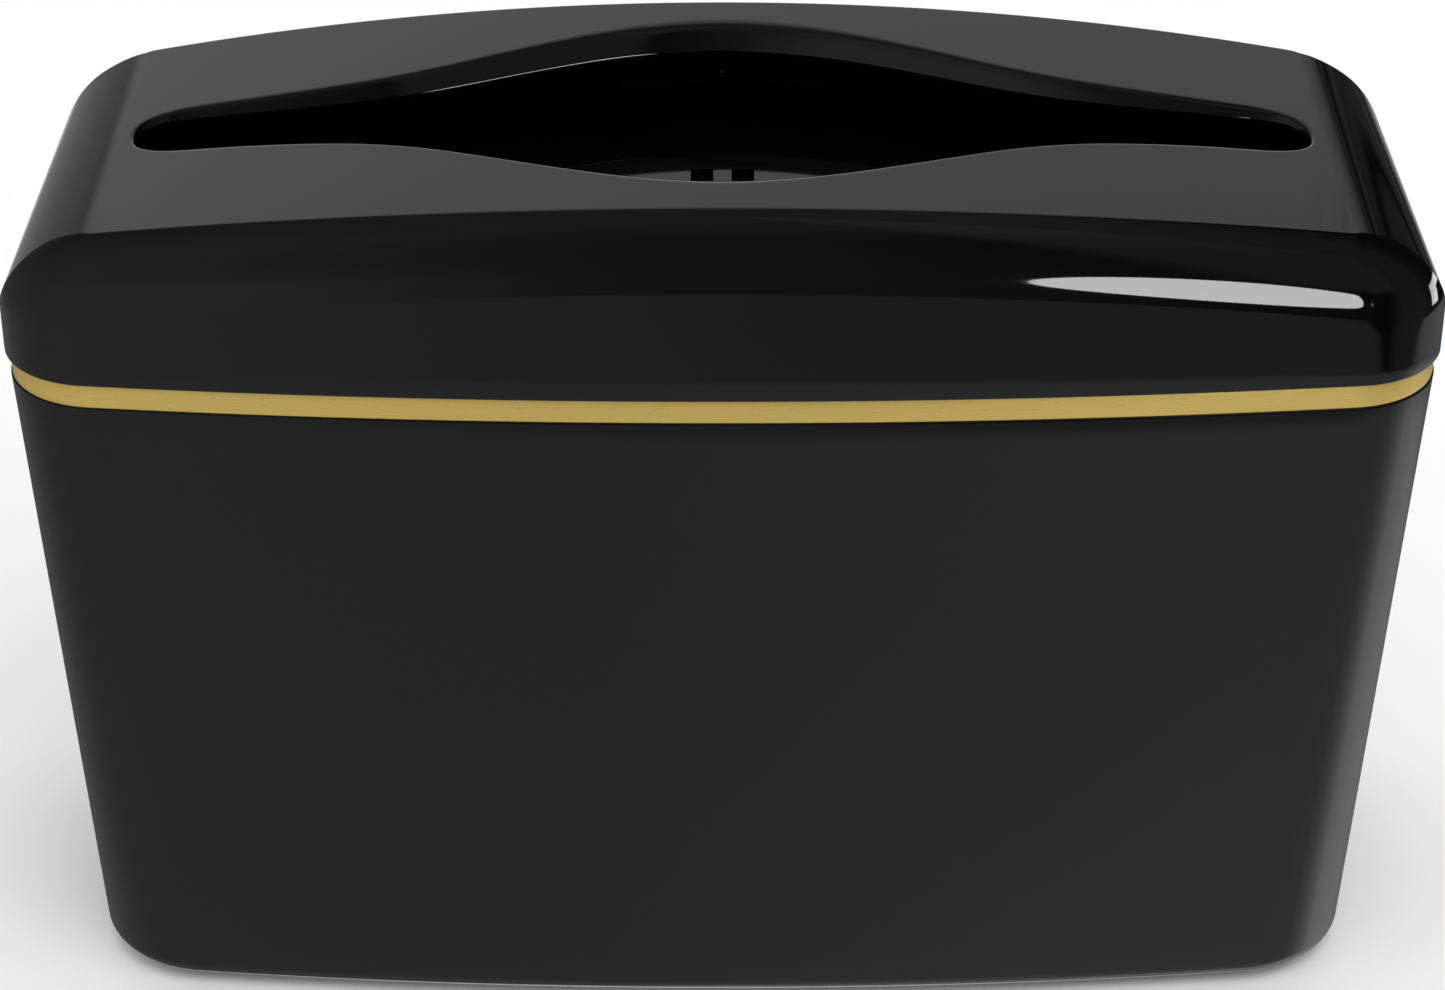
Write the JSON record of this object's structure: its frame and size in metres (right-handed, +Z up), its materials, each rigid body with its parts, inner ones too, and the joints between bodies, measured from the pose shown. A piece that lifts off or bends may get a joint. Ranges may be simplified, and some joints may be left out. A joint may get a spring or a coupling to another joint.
{
  "type": "napkin dispenser",
  "caption": "Free-standing countertop pull-up dispenser for folded napkins or towels: tapered tub, lift-off arched lid with a waisted slot, and a sprung lifting platform inside.",
  "frame": {"origin": "centre of the footprint on the counter, at the underside of the feet", "axes": "+Z up, +X to the right seen from the front, -Y to the front, the long side; the dispenser is symmetric front to back and left to right"},
  "size_m": [0.29, 0.1222, 0.1905],
  "materials": {
    "gloss_black": "gloss moulded black",
    "platform_black": "gloss moulded black",
    "inner_black": "fine matt moulded black",
    "gold_trim": "satin gold plated",
    "ballast_steel": "plain steel plate",
    "spring_steel": "bright drawn spring wire",
    "screw_steel": "zinc plated",
    "rubber": "matt rubber"
  },
  "bodies": {
    "tub": {"body_shell": "gloss_black", "trim_band": "gold_trim", "ballast_plate": "ballast_steel", "spring_seat": "inner_black", "seat_screws": "screw_steel", "guide_rail_left": "inner_black", "guide_rail_right": "inner_black", "rail_screws": "screw_steel", "foot_front_left": "rubber", "foot_front_right": "rubber", "foot_rear_left": "rubber", "foot_rear_right": "rubber", "lift_spring": "spring_steel"},
    "lid": {"lid_shell": "gloss_black"},
    "platform": {"lift_platform": "platform_black"}
  },
  "joints": [
    {"name": "platform_drop", "type": "slide", "parent": "tub", "child": "platform", "axis": [0, 0, -1], "range_m": [0, 0.128], "stiffness_N_per_m": 60, "springref_m": -0.05, "deforming": ["lift_spring"]},
    {"name": "lid_lift", "type": "slide", "parent": "tub", "child": "lid", "axis": [0, 0, 1], "range_m": [0, 0.08]}
  ]
}
